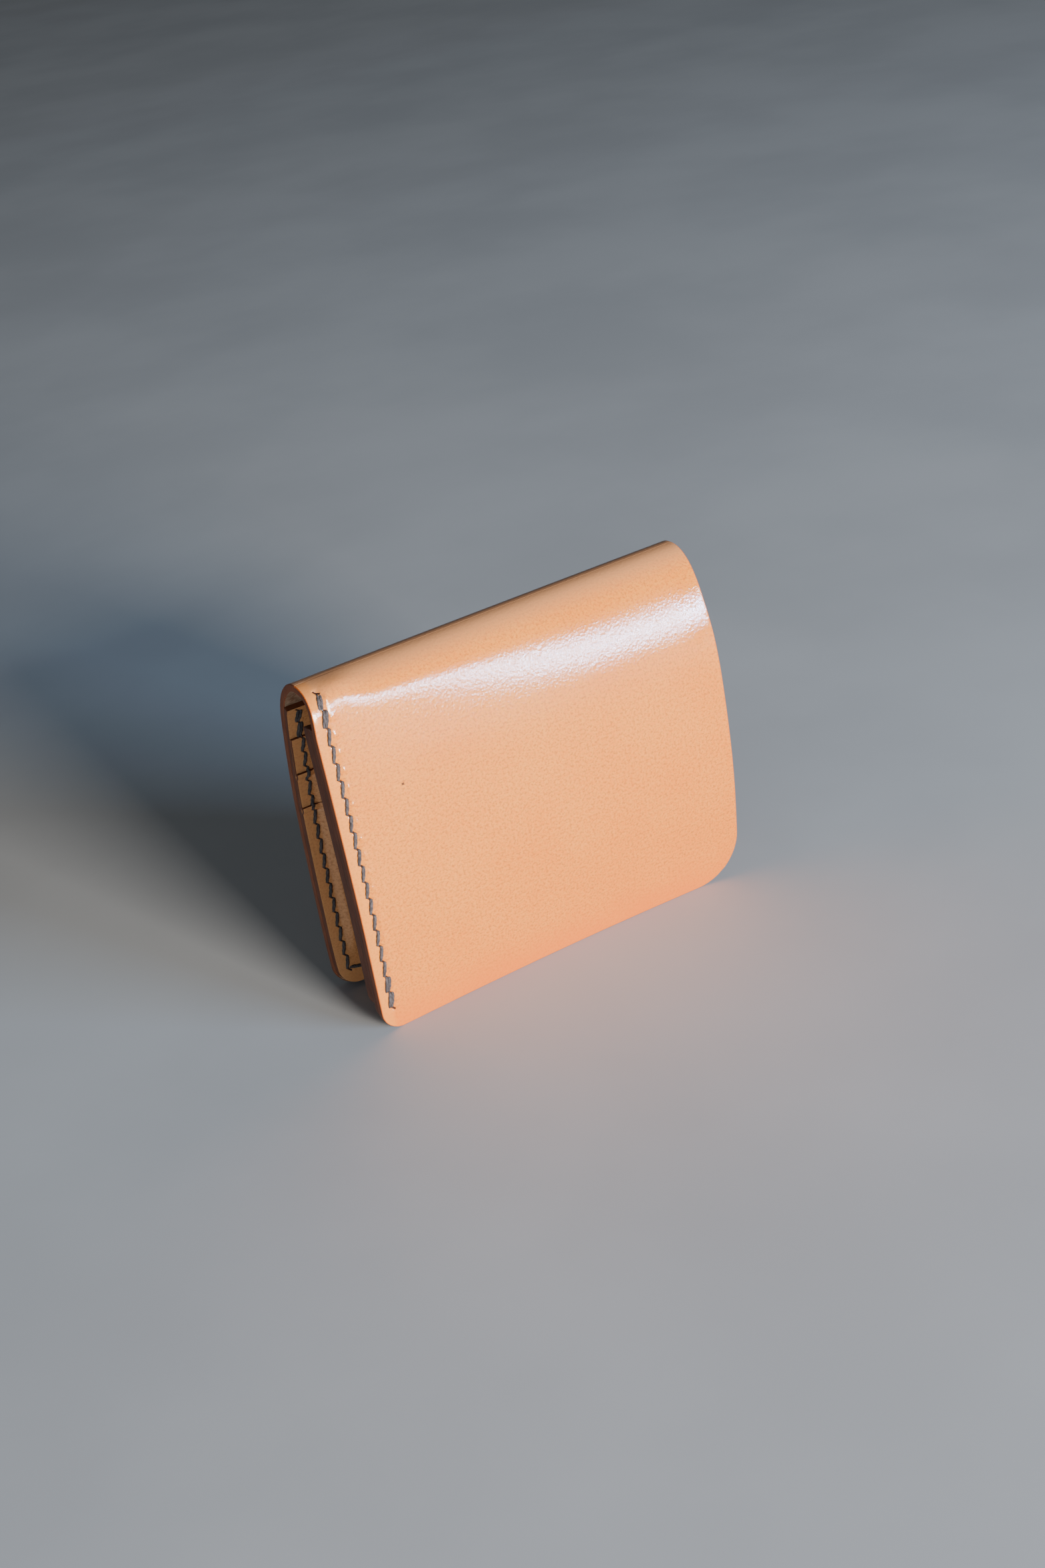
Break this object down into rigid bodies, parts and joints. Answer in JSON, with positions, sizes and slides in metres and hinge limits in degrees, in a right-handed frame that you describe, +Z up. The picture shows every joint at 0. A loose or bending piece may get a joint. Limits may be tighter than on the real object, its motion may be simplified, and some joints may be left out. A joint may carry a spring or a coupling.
{
  "type": "bifold wallet",
  "caption": "Saddle-stitched leather bifold wallet standing on its two bowed leaves, with stepped card pockets in the back leaf and a bill panel sewn over the lining of the front leaf.",
  "frame": {"origin": "on the ground, midway between the two feet and midway along the fold", "axes": "+X along the fold towards the open side, -Y towards the front leaf, +Z up"},
  "size_m": [0.1, 0.0319, 0.0851],
  "materials": {
    "cover_leather": "natural vegetable-tanned grain leather, satin, with burnished edges",
    "lining_leather": "natural vegetable-tanned leather, matt",
    "thread": "waxed linen thread"
  },
  "bodies": {
    "back_leaf": {"back_cover": "cover_leather", "card_backing": "lining_leather", "card_pocket_upper": "lining_leather", "card_pocket_middle": "lining_leather", "card_pocket_lower": "lining_leather", "back_seam_thread": "thread", "pocket_side_thread": "thread", "upper_hem_thread": "thread", "middle_hem_thread": "thread"},
    "fold": {"fold_strip": "cover_leather"},
    "front_leaf": {"front_cover": "cover_leather", "front_lining": "lining_leather", "bill_panel_sewn_edge": "lining_leather", "front_seam_thread": "thread"},
    "bill_flap": {"bill_panel": "lining_leather"}
  },
  "joints": [
    {"name": "back_bend", "type": "hinge", "parent": "back_leaf", "child": "fold", "pos_m": [0, 0.00566, 0.08272], "axis": [-1, 0, 0], "range_deg": [-3.7, 86.3], "stiffness_Nm_per_rad": 0.03},
    {"name": "front_bend", "type": "hinge", "parent": "fold", "child": "front_leaf", "pos_m": [0, -0.00566, 0.08272], "axis": [-1, 0, 0], "range_deg": [-3.7, 86.3], "stiffness_Nm_per_rad": 0.03},
    {"name": "bill_panel_swing", "type": "hinge", "parent": "front_leaf", "child": "bill_flap", "pos_m": [-0.0437, -0.01007, 0.00295], "axis": [0, 0.0659, 0.9978], "range_deg": [0, 3], "stiffness_Nm_per_rad": 0.01}
  ],
  "couplings": [
    {"joint": "front_bend", "follows": "back_bend", "ratio": 1}
  ]
}
